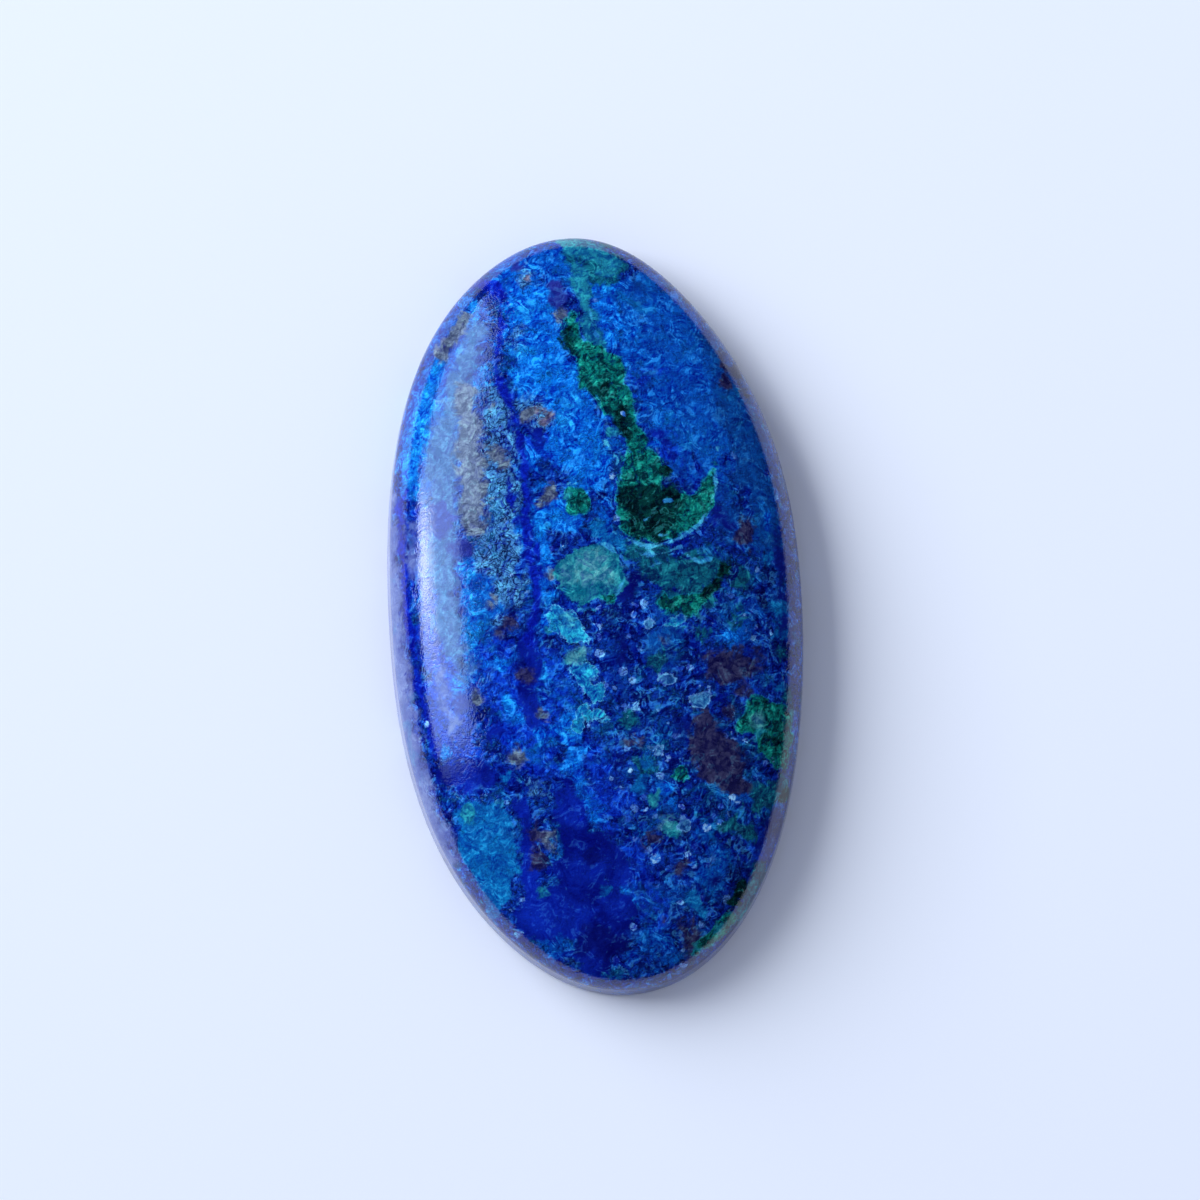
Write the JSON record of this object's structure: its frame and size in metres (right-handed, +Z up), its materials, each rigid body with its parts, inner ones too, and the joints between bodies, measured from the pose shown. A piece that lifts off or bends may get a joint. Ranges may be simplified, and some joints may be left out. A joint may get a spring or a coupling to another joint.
{
  "type": "azurite cabochon",
  "caption": "Polished oval azurite cabochon, a domed blue and green stone with an upright side and a flat back.",
  "frame": {"origin": "middle of the oval on the flat back, where the stone rests", "axes": "+Z up through the dome, +Y along the length of the oval towards its more pointed end, +X across it"},
  "size_m": [0.0208, 0.0384, 0.006],
  "materials": {
    "azurite": "polished azurite rock with green malachite, turquoise chrysocolla and brown iron stain"
  },
  "bodies": {
    "root": {"azurite_cabochon": "azurite"}
  },
  "joints": []
}
